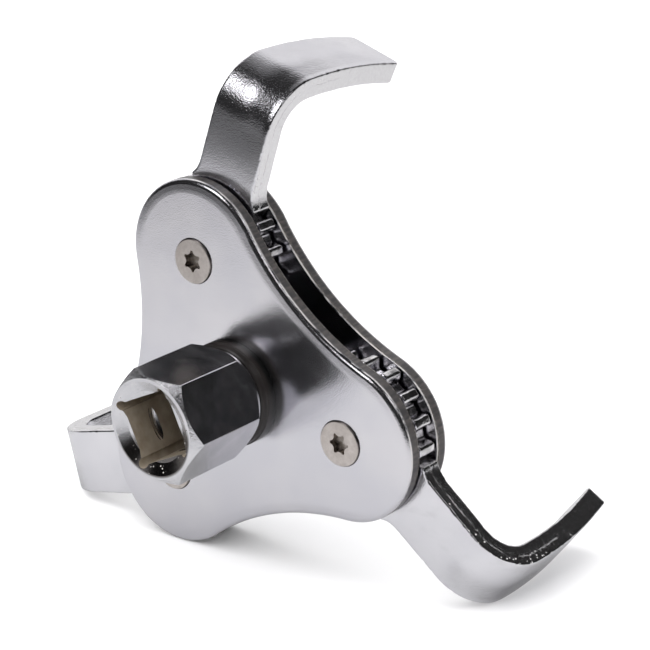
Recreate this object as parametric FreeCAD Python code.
import FreeCAD, Part
import math
import os

# Three-jaw oil filter wrench, two-way type, in millimetres and degrees.
#
# It is modelled in a tool frame: the drive axis is Z, Z = 0 is the outer face
# of the front cover and +Z points to the drive end.  Pivot 1 is straight up
# (+Y), pivots 2 and 3 follow at -120 and +120 degrees.
# place() turns each finished piece into the stored frame: the drive end faces
# -Y, +Z is up as the tool stands on its jaws, and the origin is the centre of
# the drive socket's mouth.

os.makedirs("parts", exist_ok=True)

Vector = FreeCAD.Vector
AXIS = Vector(0, 0, 1)
CENTRE = Vector(0, 0, 0)

# ---------------------------------------------------------------- dimensions
STAND_ROLL = 18.9          # roll of the tool about the drive axis as it stands
DRIVE_END_Z = 24.4
PIVOT_COUNT = 3
PIVOT_STEP = 360.0 / PIVOT_COUNT
RUN = 0.05                 # running clearance per side
CUT_OVER = 1.0             # cutting solids run this far past a face

# covers
PIVOT_R = 27.2             # pivots' pitch circle radius
LOBE_R = 16.5              # cover radius round each pivot
WAIST_D = 85.0             # distance of each waist arc's centre from the axis
FRONT_T = 3.4              # front cover thickness
GAP = 5.8                  # space between the covers
REAR_T = 3.5               # rear cover thickness
COVER_EDGE_R = 1.15        # rolled outer edge of each cover
COVER_ROLL_W = 2.3         # the face starts to fall away this far in from the edge
COVER_ROLL_D = 0.32        # and has fallen this much where the edge turns down
COVER_FACE_R = 6.0         # softens the line where the face starts to fall
COVER_BACK_R = 0.35        # broken inner edge

FRONT_FACE_Z = 0.0
FRONT_BACK_Z = FRONT_FACE_Z - FRONT_T
REAR_BACK_Z = FRONT_BACK_Z - GAP
REAR_FACE_Z = REAR_BACK_Z - REAR_T

# gear train: the centre gear drives the three toothed jaws
JAW_TEETH = 18             # full-circle tooth count of a jaw's hub
GEAR_TEETH = 13            # pitch radii are 15.79 (jaw) and 11.41 (gear)
JAW_PITCH = 2 * math.pi / JAW_TEETH     # radians
GEAR_PITCH = 2 * math.pi / GEAR_TEETH
JAW_ROOT_R = 13.95
GEAR_ROOT_R = 10.4
ROOT_STEP = 0.35           # root arc stops this far short of each flank
# Stub teeth with rounded tips: (radius, half width), from root to tip.
JAW_TOOTH = ((14.0, 1.42), (15.2, 1.25), (15.8, 1.10), (16.15, 0.92), (16.35, 0.62))
GEAR_TOOTH = ((10.6, 1.00), (11.4, 0.86), (12.2, 0.64), (12.6, 0.45), (12.8, 0.22))
STRIP_T = 4.6              # thickness of the gear and of the jaw strip
STRIP_FRONT_Z = FRONT_BACK_Z - (GAP - STRIP_T) / 2.0    # midway between the covers
STRIP_REAR_Z = STRIP_FRONT_Z - STRIP_T

# jaws: hub, flat arm, bend and hook; "left" is counter-clockwise of the arm
JAW_LEAN = (39.1, 28.5, 35.7)    # each arm's lean from radial, clockwise
ARM_LEFT, ARM_RIGHT = 7.35, 7.05      # half widths where the arm leaves the hub
BEND_LEFT, BEND_RIGHT = 7.05, 7.00    # at the bend's start
TIP_LEFT, TIP_RIGHT = 5.95, 6.80      # at the hook's tip
SHOULDER_R = 17.1          # corner of each plain shoulder
SHOULDER_ANGLE = 30.0      # that corner's angle from the arm
SHOULDER_ROOT_ANGLE = 32.0
FLARE_END = 18.2           # the flare from the hub ends here, from the pivot
BEND_START = 30.6          # the straight arm ends here, from the pivot
BEND_R = 10.5              # outer bend radius
BEND_ANGLE = 87.4
HOOK_R = 100.0             # slight curve of the hook
HOOK_ANGLE = 13.9
HOOK_END = 5.6             # straight end of the hook
TIP_CORNER_R = 1.3
ARM_EDGE_R = 0.3           # broken edges of the strip

# pivots: a post peened into the rear cover, closed by a flat-head screw
# through the front cover
POST_R = 5.5               # running radius in the jaw
SPIGOT_R = POST_R - 1.0    # through the rear cover
POST_HEAD_R = 6.5          # peened rear head
POST_HEAD_PROUD = 0.6
POST_HEAD_EDGE_R = 0.5
POST_FIT = 0.1             # radial gap between post and rear cover
SCREW_HEAD_R = 4.65
SCREW_HEAD_T = 1.5
SCREW_PROUD = 0.45         # head stands this far above the front cover
SCREW_RIM = 0.34           # straight rim of the head
SCREW_EDGE_R = 0.25
SCREW_NECK_R = 3.55
SCREW_SHANK_R = 2.5
SCREW_SEAT_GAP = 0.12      # radial gap at the mouth of the countersink
SCREW_TURN = (12.0, 40.0, 25.0)   # each recess's angle
RECESS_TIP_R = 2.25        # six-lobe recess
RECESS_VALLEY_R = 1.62
RECESS_TIP_ARC_R = 0.36
RECESS_TIP_SPAN = 68.0     # half the angle that each tip arc covers
RECESS_DEPTH = 1.35
WASHER_T = 0.5
WASHER_R = 11.5
GEAR_WASHER_R = 9.6
WASHER_GAP = 0.05          # behind each washer

# spindle
HEX_AF = 21.0
HEX_BASE_Z = 4.4
HEX_TURN = 35.1            # a hex corner's angle
HEX_RIDGE_R = 0.45         # rounded corners of the hex
HEX_BASE_R, HEX_BASE_RISE = 10.25, 2.7    # turned chamfer at the base
HEX_END_R, HEX_END_DROP = 10.2, 2.3       # turned chamfer at the drive end
COLLAR_R = 9.9
JOURNAL_R = 8.0
SEAT_AF = 13.0             # hex seat of the centre gear
REAR_JOURNAL_R = 6.0
REAR_JOURNAL_PROUD = 2.2   # sticks out of the rear cover
SQUARE = 12.8              # half-inch square drive socket, across flats
SQUARE_TURN = HEX_TURN - 30.0
SOCKET_DEPTH = 16.0
RELIEF_R = 1.08            # round relief in each corner of the socket
RELIEF_INSET = 0.78        # its centre, in from the corner
MOUTH_R, MOUTH_END_R, MOUTH_DEPTH = 9.46, 7.2, 1.3
DETENT_R = 7.25            # groove for the drive's ball
DETENT_ARC_R = 1.05
DETENT_DEPTH = 7.6         # below the drive end
DUST_RING_R = 10.85
DUST_RING_TOP_Z = 3.45
DUST_RING_EDGE_R = 0.15


# ------------------------------------------------------------------- helpers
def place(shape):
    roll = math.radians(STAND_ROLL)
    matrix = FreeCAD.Matrix(
        math.cos(roll), -math.sin(roll), 0.0, 0.0,
        0.0, 0.0, -1.0, DRIVE_END_Z,
        math.sin(roll), math.cos(roll), 0.0, 0.0,
        0.0, 0.0, 0.0, 1.0)
    placed = shape.copy()
    placed.Placement = FreeCAD.Placement(matrix).multiply(placed.Placement)
    return placed


def export(name, shape):
    place(only(shape)).exportStep("parts/%s.step" % name)


def only(shape):
    """The shape's solid when it has exactly one, else the shape itself."""
    return shape.Solids[0] if len(shape.Solids) == 1 else shape


def merged(shape):
    return only(shape.removeSplitter())


def polar(radius, degrees):
    return radial(radius, math.radians(degrees))


def radial(radius, radians):
    return Vector(radius * math.cos(radians), radius * math.sin(radians), 0)


def pivot_angle(index):
    return 90.0 - PIVOT_STEP * index


def pivot(index):
    return polar(PIVOT_R, pivot_angle(index))


def line(start, end):
    return Part.LineSegment(start, end).toShape()


def arc(start, middle, end):
    return Part.Arc(start, middle, end).toShape()


def cylinder(radius, z_low, z_high, centre=CENTRE):
    return Part.makeCylinder(radius, z_high - z_low, Vector(centre.x, centre.y, z_low), AXIS)


def prism(wire, z_low, z_high):
    base = wire.copy()
    base.translate(Vector(0, 0, z_low))
    return Part.Face(base).extrude(Vector(0, 0, z_high - z_low))


def polygon(points):
    return Part.makePolygon(list(points) + [points[0]])


def hexagon(across_flats, turn):
    return polygon([polar(across_flats / math.sqrt(3.0), turn + 60.0 * i) for i in range(6)])


def turned(radius_z_pairs):
    """Solid of revolution about the drive axis."""
    face = Part.Face(polygon([Vector(radius, 0, z) for radius, z in radius_z_pairs]))
    return face.revolve(CENTRE, AXIS, 360)


def rounded(shape, radius, edges):
    # Guards the fillet: where it fails or breaks the solid, the edges stay sharp.
    try:
        fillet = shape.makeFillet(radius, edges)
        if fillet.isValid() and len(fillet.Solids) == 1:
            return fillet
    except Exception:
        pass
    return shape


def edges_at(shape, z, test):
    """Edges that lie in the plane z and pass the test."""
    found = []
    for edge in shape.Edges:
        box = edge.BoundBox
        if abs(box.ZMin - z) < 1e-4 and abs(box.ZMax - z) < 1e-4 and test(edge):
            found.append(edge)
    return found


# -------------------------------------------------------------------- covers
def cover_wire(offset=0.0):
    """Three lobes joined by concave waists, tangent all the way round."""
    radius = LOBE_R + offset
    edges = []
    for k in range(PIVOT_COUNT):
        angle = pivot_angle(k)
        lobe = pivot(k)
        next_lobe = pivot(k + 1)
        waist_before = polar(WAIST_D, angle + PIVOT_STEP / 2)
        waist_after = polar(WAIST_D, angle - PIVOT_STEP / 2)
        lobe_start = lobe + (waist_before - lobe).normalize() * radius
        lobe_end = lobe + (waist_after - lobe).normalize() * radius
        edges.append(arc(lobe_start, lobe + polar(radius, angle), lobe_end))
        waist_r = (waist_after - lobe).Length - radius
        waist_middle = waist_after - polar(waist_r, angle - PIVOT_STEP / 2)
        waist_end = next_lobe + (waist_after - next_lobe).normalize() * radius
        edges.append(arc(lobe_end, waist_middle, waist_end))
    return Part.Wire(edges)


def outline_edges(shape, z):
    """Edges of the cover's outline in the plane z."""
    def on_outline(edge):
        centre = edge.CenterOfMass
        return edge.Length > 25.0 and math.hypot(centre.x, centre.y) > 20.0
    return edges_at(shape, z, on_outline)


def cover_blank(z_face, z_back):
    """Plate with a pressed outer edge: a shallow fall, then a tight turn down."""
    outward = 1.0 if z_face > z_back else -1.0
    z_turn = z_face - outward * COVER_ROLL_D
    # Guards the loft and its fuse: if they or the tight turn's fillet fail,
    # the cover is a flat plate with a rounded edge.
    try:
        lower = prism(cover_wire(), min(z_back, z_turn), max(z_back, z_turn))
        face_wire = cover_wire(-COVER_ROLL_W)
        turn_wire = cover_wire()
        face_wire.translate(Vector(0, 0, z_face))
        turn_wire.translate(Vector(0, 0, z_turn))
        crown = Part.makeLoft([turn_wire, face_wire], True, True)
        body = merged(lower.fuse(crown))
        rolled = rounded(body, COVER_EDGE_R, outline_edges(body, z_turn))
        if rolled is not body:
            return rounded(rolled, COVER_FACE_R, outline_edges(rolled, z_face))
    except Exception:
        pass
    plate = prism(cover_wire(), min(z_face, z_back), max(z_face, z_back))
    return rounded(plate, COVER_EDGE_R, outline_edges(plate, z_face))


def make_cover(z_face, z_back, bore_r):
    """Cover with its spindle bore."""
    cover = cover_blank(z_face, z_back)
    cover = rounded(cover, COVER_BACK_R, outline_edges(cover, z_back))
    z_low, z_high = min(z_face, z_back), max(z_face, z_back)
    return cover.cut(cylinder(bore_r, z_low - CUT_OVER, z_high + CUT_OVER))


def make_front_cover():
    """Front cover with a countersunk hole for each screw."""
    cover = make_cover(FRONT_FACE_Z, FRONT_BACK_Z, JOURNAL_R + RUN)
    hole_r = SCREW_NECK_R + RUN
    seat_z = FRONT_FACE_Z - SCREW_HEAD_T + SCREW_PROUD
    for k in range(PIVOT_COUNT):
        centre = pivot(k)
        cover = cover.cut(cylinder(hole_r, FRONT_BACK_Z - CUT_OVER,
                                   FRONT_FACE_Z + CUT_OVER, centre))
        cover = cover.cut(Part.makeCone(
            hole_r, SCREW_HEAD_R + SCREW_SEAT_GAP, SCREW_HEAD_T - SCREW_PROUD + 0.01,
            Vector(centre.x, centre.y, seat_z), AXIS))
    return merged(cover)


def make_rear_cover():
    """Rear cover with a stepped hole for each post."""
    cover = make_cover(REAR_FACE_Z, REAR_BACK_Z, REAR_JOURNAL_R + RUN)
    for k in range(PIVOT_COUNT):
        centre = pivot(k)
        cover = cover.cut(cylinder(SPIGOT_R + POST_FIT, REAR_FACE_Z - CUT_OVER,
                                   REAR_BACK_Z + CUT_OVER, centre))
        cover = cover.cut(cylinder(POST_HEAD_R + POST_FIT, REAR_FACE_Z - CUT_OVER,
                                   REAR_FACE_Z + 1.2, centre))
    return merged(cover)


# ----------------------------------------------------------------- gear teeth
def flank(points):
    curve = Part.BSplineCurve()
    curve.interpolate(points)
    return curve.toShape()


def root_half_angle(table):
    """Half the angle a tooth covers at its root, in radians."""
    radius, half_width = table[0]
    return math.asin(half_width / radius)


def tooth_edges(table, middle):
    """One tooth about the angle middle (radians): flank, tip arc, flank."""
    rising = [radial(r, middle - math.asin(half / r)) for r, half in table]
    falling = [radial(r, middle + math.asin(half / r)) for r, half in reversed(table)]
    tip = radial(table[-1][0], middle)
    return [flank(rising), arc(rising[-1], tip, falling[0]), flank(falling)]


def root_edges(table, root_r, tooth, next_tooth):
    """Root arc between two teeth, with short steps down from the flanks."""
    flank_r = table[0][0]
    start = tooth + root_half_angle(table)
    end = next_tooth - root_half_angle(table)
    step = ROOT_STEP / root_r
    arc_start = radial(root_r, start + step)
    arc_end = radial(root_r, end - step)
    return [line(radial(flank_r, start), arc_start),
            arc(arc_start, radial(root_r, (start + end) / 2.0), arc_end),
            line(arc_end, radial(flank_r, end))]


# ---------------------------------------------------------------- centre gear
def gear_phase():
    """Angle of a gear tooth, in degrees.

    A jaw has a tooth centred opposite its arm, so a lean of 10, 30, 50 ...
    puts a tooth space on the line of centres.  Each jaw asks for its own
    phase; the gear is turned to the middle of the three.
    """
    pitch = 360.0 / GEAR_TEETH
    wanted = []
    for k in range(PIVOT_COUNT):
        turn = (JAW_LEAN[k] - 30.0) * JAW_TEETH / float(GEAR_TEETH)
        wanted.append((pivot_angle(k) + turn) % pitch)
    first = wanted[0]
    offsets = [((phase - first + pitch / 2) % pitch) - pitch / 2 for phase in wanted]
    return first + (min(offsets) + max(offsets)) / 2.0


def make_gear():
    phase = math.radians(gear_phase())
    edges = []
    for i in range(GEAR_TEETH):
        tooth = phase + i * GEAR_PITCH
        edges += tooth_edges(GEAR_TOOTH, tooth)
        edges += root_edges(GEAR_TOOTH, GEAR_ROOT_R, tooth, phase + (i + 1) * GEAR_PITCH)
    gear = prism(Part.Wire(edges), STRIP_REAR_Z, STRIP_FRONT_Z)
    bore = prism(hexagon(SEAT_AF + 0.02, HEX_TURN),
                 STRIP_REAR_Z - CUT_OVER, STRIP_FRONT_Z + CUT_OVER)
    return merged(gear.cut(bore))


# ----------------------------------------------------------------------- jaws
# A jaw is built with its pivot on the Z axis and its arm along +X.
def along_arc(pose, radius, angle):
    """Pose (x, z, heading) after an arc that turns towards -Z; radians."""
    x, z, heading = pose
    chord = 2 * radius * math.sin(angle / 2)
    direction = heading + angle / 2
    return (x + chord * math.cos(direction), z - chord * math.sin(direction), heading + angle)


def strip_sections():
    """Outer line of the strip: two poses for a line, three for an arc."""
    pose = (BEND_START, STRIP_FRONT_Z, 0.0)
    sections = [[(0.0, STRIP_FRONT_Z, 0.0), pose]]
    for radius, degrees in ((BEND_R, BEND_ANGLE), (HOOK_R, HOOK_ANGLE)):
        angle = math.radians(degrees)
        end = along_arc(pose, radius, angle)
        sections.append([pose, along_arc(pose, radius, angle / 2), end])
        pose = end
    x, z, heading = pose
    tip = (x + HOOK_END * math.cos(heading), z - HOOK_END * math.sin(heading), heading)
    sections.append([pose, tip])
    return sections


def strip_point(pose, depth):
    x, z, heading = pose
    return Vector(x - depth * math.sin(heading), 0, z - depth * math.cos(heading))


def strip_line(sections, depth):
    """Edges of the strip's line at a depth below its outer face."""
    edges = []
    for poses in sections:
        points = [strip_point(pose, depth) for pose in poses]
        edges.append(arc(*points) if len(points) == 3 else line(*points))
    return edges


def strip_solid(sections, width):
    """Bent strip, symmetric about y = 0, before its sides are trimmed."""
    start, tip = sections[0][0], sections[-1][-1]
    start_cap = line(strip_point(start, STRIP_T), strip_point(start, 0))
    tip_cap = line(strip_point(tip, 0), strip_point(tip, STRIP_T))
    edges = strip_line(sections, 0) + [tip_cap] + strip_line(sections, STRIP_T) + [start_cap]
    face = Part.Face(Part.Wire(Part.__sortEdges__(edges)))
    face.translate(Vector(0, -width / 2.0, 0))
    return face.extrude(Vector(0, width, 0))


def hub_wire():
    """Hub toothed from 40 to 320 degrees round from the arm, with plain
    shoulders that flare into the arm."""
    count = JAW_TEETH - 3
    edges = []
    for i in range(count):
        tooth = (i + 2) * JAW_PITCH
        edges += tooth_edges(JAW_TOOTH, tooth)
        if i < count - 1:
            edges += root_edges(JAW_TOOTH, JAW_ROOT_R, tooth, tooth + JAW_PITCH)
    flank_r = JAW_TOOTH[0][0]
    half = root_half_angle(JAW_TOOTH)
    first = radial(flank_r, 2 * JAW_PITCH - half)
    last = radial(flank_r, (count + 1) * JAW_PITCH + half)
    for side, tooth_end, half_width in ((1, first, ARM_LEFT), (-1, last, ARM_RIGHT)):
        root = polar(JAW_ROOT_R, side * SHOULDER_ROOT_ANGLE)
        corner = polar(SHOULDER_R, side * SHOULDER_ANGLE)
        flare_end = Vector(FLARE_END, side * half_width, 0)
        # the flare is an arc that ends tangent to the arm
        run = FLARE_END - corner.x
        drop = abs(corner.y) - half_width
        flare_r = (run * run + drop * drop) / (2.0 * drop)
        half_turn = math.asin(run / flare_r) / 2.0
        middle = Vector(FLARE_END - flare_r * math.sin(half_turn),
                        side * (half_width + flare_r - flare_r * math.cos(half_turn)), 0)
        edges.append(line(tooth_end, root))
        edges.append(line(root, corner))
        edges.append(arc(corner, middle, flare_end))
    edges.append(line(Vector(FLARE_END, -ARM_RIGHT, 0), Vector(FLARE_END, ARM_LEFT, 0)))
    return Part.Wire(Part.__sortEdges__(edges))


def side_cutter(side, arm_half, bend_half, tip_half, tip_z):
    """Block beyond one plane: a single flat side for arm, bend and hook."""
    at_hub = Vector(FLARE_END, side * arm_half, STRIP_FRONT_Z)
    at_bend = Vector(BEND_START, side * bend_half, STRIP_FRONT_Z)
    at_tip = Vector(BEND_START, side * tip_half, tip_z)
    normal = (at_bend - at_hub).normalize().cross((at_tip - at_bend).normalize()).normalize()
    if normal.y * side < 0:
        normal = normal * -1.0
    plane = Part.makePlane(400, 400, CENTRE, AXIS)
    plane.translate(Vector(-200, -200, 0))
    tilt = FreeCAD.Placement(at_hub, FreeCAD.Rotation(AXIS, normal))
    plane.Placement = tilt.multiply(plane.Placement)
    return plane.extrude(normal * 60.0)


def make_arm():
    """Arm, bend and hook, from the end of the flare."""
    sections = strip_sections()
    tip_z = sections[-1][-1][1]
    arm = strip_solid(sections, 60.0)
    arm = arm.cut(Part.makeBox(100, 100, 100, Vector(FLARE_END - 100, -50, -90)))
    arm = arm.cut(side_cutter(1, ARM_LEFT, BEND_LEFT, TIP_LEFT, tip_z))
    arm = arm.cut(side_cutter(-1, ARM_RIGHT, BEND_RIGHT, TIP_RIGHT, tip_z))
    arm = arm.Solids[0]

    def through_tip(edge):
        """Edge through the strip's thickness, near the hook's tip."""
        return (STRIP_T * 0.8 < edge.Length < STRIP_T * 1.2
                and edge.CenterOfMass.z < tip_z + 4.0)

    def on_rim(edge):
        box = edge.BoundBox
        at_hub = abs(box.XMin - FLARE_END) < 1e-3 and abs(box.XMax - FLARE_END) < 1e-3
        across = box.YLength > 8.0 and edge.CenterOfMass.z > tip_z + 5.0
        return not (at_hub or across or (through_tip(edge) and box.YLength < 0.6))

    corners = [e for e in arm.Edges if through_tip(e) and abs(e.CenterOfMass.y) > 4.0]
    arm = rounded(arm, TIP_CORNER_R, corners)
    return rounded(arm, ARM_EDGE_R, [e for e in arm.Edges if on_rim(e)])


def make_jaw():
    hub = prism(hub_wire(), STRIP_REAR_Z, STRIP_FRONT_Z)
    jaw = hub.fuse(make_arm()).removeSplitter()
    jaw = jaw.cut(cylinder(POST_R + RUN, STRIP_REAR_Z - CUT_OVER, STRIP_FRONT_Z + CUT_OVER))
    return merged(jaw)


# --------------------------------------------------------------------- pivots
def make_post(centre):
    """Sleeve between the covers, spigot and peened head, bored for the screw."""
    top_z = FRONT_BACK_Z - 0.02
    head_z = REAR_FACE_Z - POST_HEAD_PROUD
    post = cylinder(POST_R, REAR_BACK_Z, top_z, centre)
    post = post.fuse(cylinder(SPIGOT_R, REAR_FACE_Z + 1.0, REAR_BACK_Z + 0.5, centre))
    post = post.fuse(cylinder(POST_HEAD_R, head_z, REAR_FACE_Z + 1.15, centre))
    post = post.cut(cylinder(SCREW_SHANK_R + 0.01, REAR_FACE_Z + 1.4, top_z + CUT_OVER, centre))
    post = merged(post)
    return rounded(post, POST_HEAD_EDGE_R, edges_at(post, head_z, lambda edge: True))


def six_lobe(turn, z_low, z_high, centre):
    """Six-lobe prism: convex tip arcs joined by concave valley arcs."""
    tip_centre_r = RECESS_TIP_R - RECESS_TIP_ARC_R

    def tip_end(angle, side):
        return polar(tip_centre_r, angle) + polar(RECESS_TIP_ARC_R,
                                                  angle + side * RECESS_TIP_SPAN)

    edges = []
    for i in range(6):
        angle = turn + 60.0 * i
        next_angle = turn + 60.0 * ((i + 1) % 6)
        end = tip_end(angle, 1)
        edges.append(arc(tip_end(angle, -1), polar(RECESS_TIP_R, angle), end))
        edges.append(arc(end, polar(RECESS_VALLEY_R, angle + 30.0), tip_end(next_angle, -1)))
    wire = Part.Wire(edges)
    wire.translate(Vector(centre.x, centre.y, 0))
    return prism(wire, z_low, z_high)


def make_screw(centre, turn):
    head_z = FRONT_FACE_Z + SCREW_PROUD
    under_z = head_z - SCREW_HEAD_T
    # the sections overlap slightly so that they fuse
    screw = Part.makeCone(SCREW_NECK_R, SCREW_HEAD_R, SCREW_HEAD_T - 0.35,
                          Vector(centre.x, centre.y, under_z + 0.02), AXIS)
    screw = screw.fuse(cylinder(SCREW_HEAD_R, head_z - SCREW_RIM, head_z, centre))
    screw = screw.fuse(cylinder(SCREW_NECK_R, FRONT_BACK_Z, under_z + 0.03, centre))
    screw = screw.fuse(cylinder(SCREW_SHANK_R, REAR_FACE_Z + 1.9, FRONT_BACK_Z + 0.05, centre))
    screw = screw.cut(six_lobe(turn, head_z - RECESS_DEPTH, head_z + CUT_OVER, centre))
    screw = merged(screw)
    return rounded(screw, SCREW_EDGE_R, edges_at(screw, head_z, lambda edge: edge.Length > 20))


def make_washer(outer_r, inner_r, z_low, centre=CENTRE):
    washer = cylinder(outer_r, z_low, z_low + WASHER_T, centre)
    return merged(washer.cut(cylinder(inner_r, z_low - 1, z_low + 2, centre)))


# -------------------------------------------------------------------- spindle
def drive_hex():
    """Outer hex with turned chamfers at both ends and rounded ridges."""
    clear_r = HEX_AF / math.sqrt(3.0) + 0.5
    body = prism(hexagon(HEX_AF, HEX_TURN), HEX_BASE_Z, DRIVE_END_Z)
    envelope = turned([
        (0, HEX_BASE_Z), (HEX_BASE_R, HEX_BASE_Z), (clear_r, HEX_BASE_Z + HEX_BASE_RISE),
        (clear_r, DRIVE_END_Z - HEX_END_DROP), (HEX_END_R, DRIVE_END_Z), (0, DRIVE_END_Z)])
    body = merged(body.common(envelope))
    ridges = [e for e in body.Edges if e.BoundBox.ZLength > 10.0
              and e.BoundBox.XLength < 0.01 and e.BoundBox.YLength < 0.01]
    return rounded(body, HEX_RIDGE_R, ridges)


def square_socket():
    """Square drive socket with a round relief in each corner."""
    corner_r = SQUARE / math.sqrt(2.0)
    angles = [SQUARE_TURN + 45.0 + 90.0 * i for i in range(4)]
    z_low, z_high = DRIVE_END_Z - SOCKET_DEPTH, DRIVE_END_Z + CUT_OVER
    socket = prism(polygon([polar(corner_r, angle) for angle in angles]), z_low, z_high)
    for angle in angles:
        relief = cylinder(RELIEF_R, z_low, z_high, polar(corner_r - RELIEF_INSET, angle))
        socket = socket.fuse(relief)
    return socket


def make_spindle():
    spindle = drive_hex()
    spindle = spindle.fuse(cylinder(COLLAR_R, DUST_RING_TOP_Z + 0.05, HEX_BASE_Z + 0.5))
    spindle = spindle.fuse(cylinder(JOURNAL_R, FRONT_BACK_Z, DUST_RING_TOP_Z + 0.5))
    spindle = spindle.fuse(prism(hexagon(SEAT_AF, HEX_TURN), REAR_BACK_Z + 0.15, FRONT_BACK_Z))
    spindle = spindle.fuse(cylinder(REAR_JOURNAL_R, REAR_FACE_Z - REAR_JOURNAL_PROUD,
                                    REAR_BACK_Z + 0.2))
    # retaining ring groove
    groove_z = (REAR_FACE_Z - 1.35, REAR_FACE_Z - 0.35)
    groove = cylinder(REAR_JOURNAL_R + 1, *groove_z)
    groove = groove.cut(cylinder(REAR_JOURNAL_R - 0.8, *groove_z))
    spindle = spindle.cut(groove)
    spindle = spindle.cut(square_socket())
    # turned mouth
    spindle = spindle.cut(Part.makeCone(MOUTH_R, MOUTH_END_R, MOUTH_DEPTH,
                                        Vector(0, 0, DRIVE_END_Z + 0.001), Vector(0, 0, -1)))
    # turned detent groove, a slim lens on each of the four walls
    spindle = spindle.cut(Part.makeTorus(DETENT_R - DETENT_ARC_R, DETENT_ARC_R,
                                         Vector(0, 0, DRIVE_END_Z - DETENT_DEPTH), AXIS))
    return merged(spindle)


def make_dust_ring():
    """Stepped ring between the front cover and the spindle's collar."""
    bore_r = JOURNAL_R + 0.03
    base_z = FRONT_FACE_Z + 0.03
    ring = only(turned([
        (bore_r, base_z), (DUST_RING_R, base_z), (DUST_RING_R, 2.15),
        (DUST_RING_R - 0.25, 2.45), (DUST_RING_R - 0.45, DUST_RING_TOP_Z - 0.35),
        (DUST_RING_R - 0.8, DUST_RING_TOP_Z), (bore_r, DUST_RING_TOP_Z)]))
    # the outer circles above the base
    edges = [e for e in ring.Edges
             if e.Length > 62 and 0.5 < e.CenterOfMass.z < DUST_RING_TOP_Z + 0.1]
    return rounded(ring, DUST_RING_EDGE_R, edges)


def make_retaining_ring():
    """Ring in the spindle's rear groove, open towards +Y."""
    opening = 5.0
    ring = cylinder(REAR_JOURNAL_R + 2.0, REAR_FACE_Z - 1.3, REAR_FACE_Z - 0.4)
    ring = ring.cut(cylinder(REAR_JOURNAL_R - 0.78, REAR_FACE_Z - 2, REAR_FACE_Z))
    ring = ring.cut(Part.makeBox(opening, 20, 10, Vector(-opening / 2, 0, REAR_FACE_Z - 5)))
    return merged(ring)


# --------------------------------------------------------------------- pieces
export("front_cover", make_front_cover())
export("rear_cover", make_rear_cover())
export("centre_gear", make_gear())
export("drive_spindle", make_spindle())
export("dust_ring", make_dust_ring())
export("retaining_ring", make_retaining_ring())

WASHER_SIDES = (("front", STRIP_FRONT_Z + WASHER_GAP), ("rear", REAR_BACK_Z + WASHER_GAP))
for side_name, washer_z in WASHER_SIDES:
    export("gear_washer_%s" % side_name,
           make_washer(GEAR_WASHER_R, SEAT_AF / math.sqrt(3.0) + 0.1, washer_z))

jaw_pattern = make_jaw()
for k in range(PIVOT_COUNT):
    position = pivot(k)
    jaw = jaw_pattern.copy()
    jaw.rotate(CENTRE, AXIS, pivot_angle(k) - JAW_LEAN[k])
    jaw.translate(position)
    export("jaw_%d" % (k + 1), jaw)
    export("pivot_post_%d" % (k + 1), make_post(position))
    export("pivot_screw_%d" % (k + 1), make_screw(position, SCREW_TURN[k]))
    for side_name, washer_z in WASHER_SIDES:
        export("%s_washer_%d" % (side_name, k + 1),
               make_washer(WASHER_R, POST_R + 0.03, washer_z, position))
